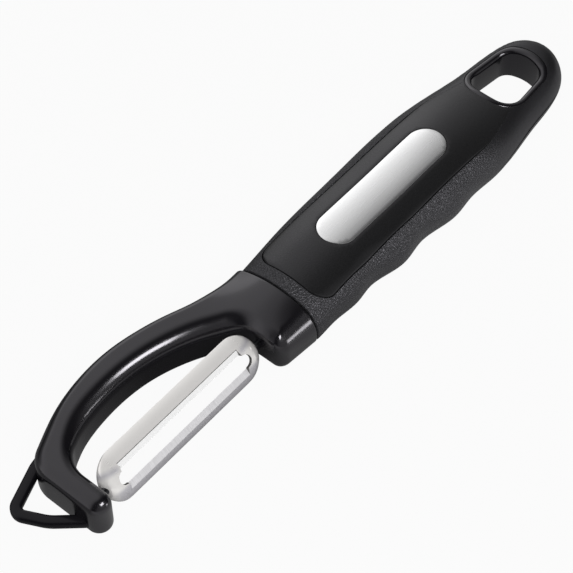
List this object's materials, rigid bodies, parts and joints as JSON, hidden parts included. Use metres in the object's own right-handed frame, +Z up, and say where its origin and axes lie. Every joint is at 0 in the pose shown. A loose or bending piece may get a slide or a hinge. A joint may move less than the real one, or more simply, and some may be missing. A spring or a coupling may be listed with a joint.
{
  "type": "vegetable peeler",
  "caption": "Swivel peeler: slotted blade turning between the ends of a one-sided bow, looped eye remover at the tip, soft grip with inset plate and hang hole.",
  "frame": {"origin": "on the flat underside, under the middle of the handle, at the height of the table that the peeler lies on", "axes": "+X along the handle from the blade to the hang hole, +Y to the side that the bow sweeps to, +Z up out of the face with the inset plate"},
  "size_m": [0.1854, 0.0342, 0.0134],
  "materials": {
    "core_plastic": "smooth matte black plastic",
    "soft_touch": "black soft-touch rubber with a fine grain",
    "gloss_plastic": "polished black plastic",
    "inlay_steel": "satin steel, bare",
    "tape": "double-sided mounting film",
    "blade_steel": "polished and ground stainless steel",
    "pin_steel": "drawn stainless pin"
  },
  "bodies": {
    "handle": {"handle_core": "core_plastic", "soft_grip": "soft_touch", "hang_hole_liner": "gloss_plastic", "inlay_plate": "inlay_steel", "inlay_tape": "tape", "bow_head": "gloss_plastic"},
    "blade": {"blade": "blade_steel", "front_pivot_pin": "pin_steel", "rear_pivot_pin": "pin_steel"}
  },
  "joints": [
    {"name": "blade_swivel", "type": "hinge", "parent": "handle", "child": "blade", "pos_m": [-0.09125, -0.0043, 0.0062], "axis": [-1, 0, 0], "range_deg": [0, 110]}
  ]
}
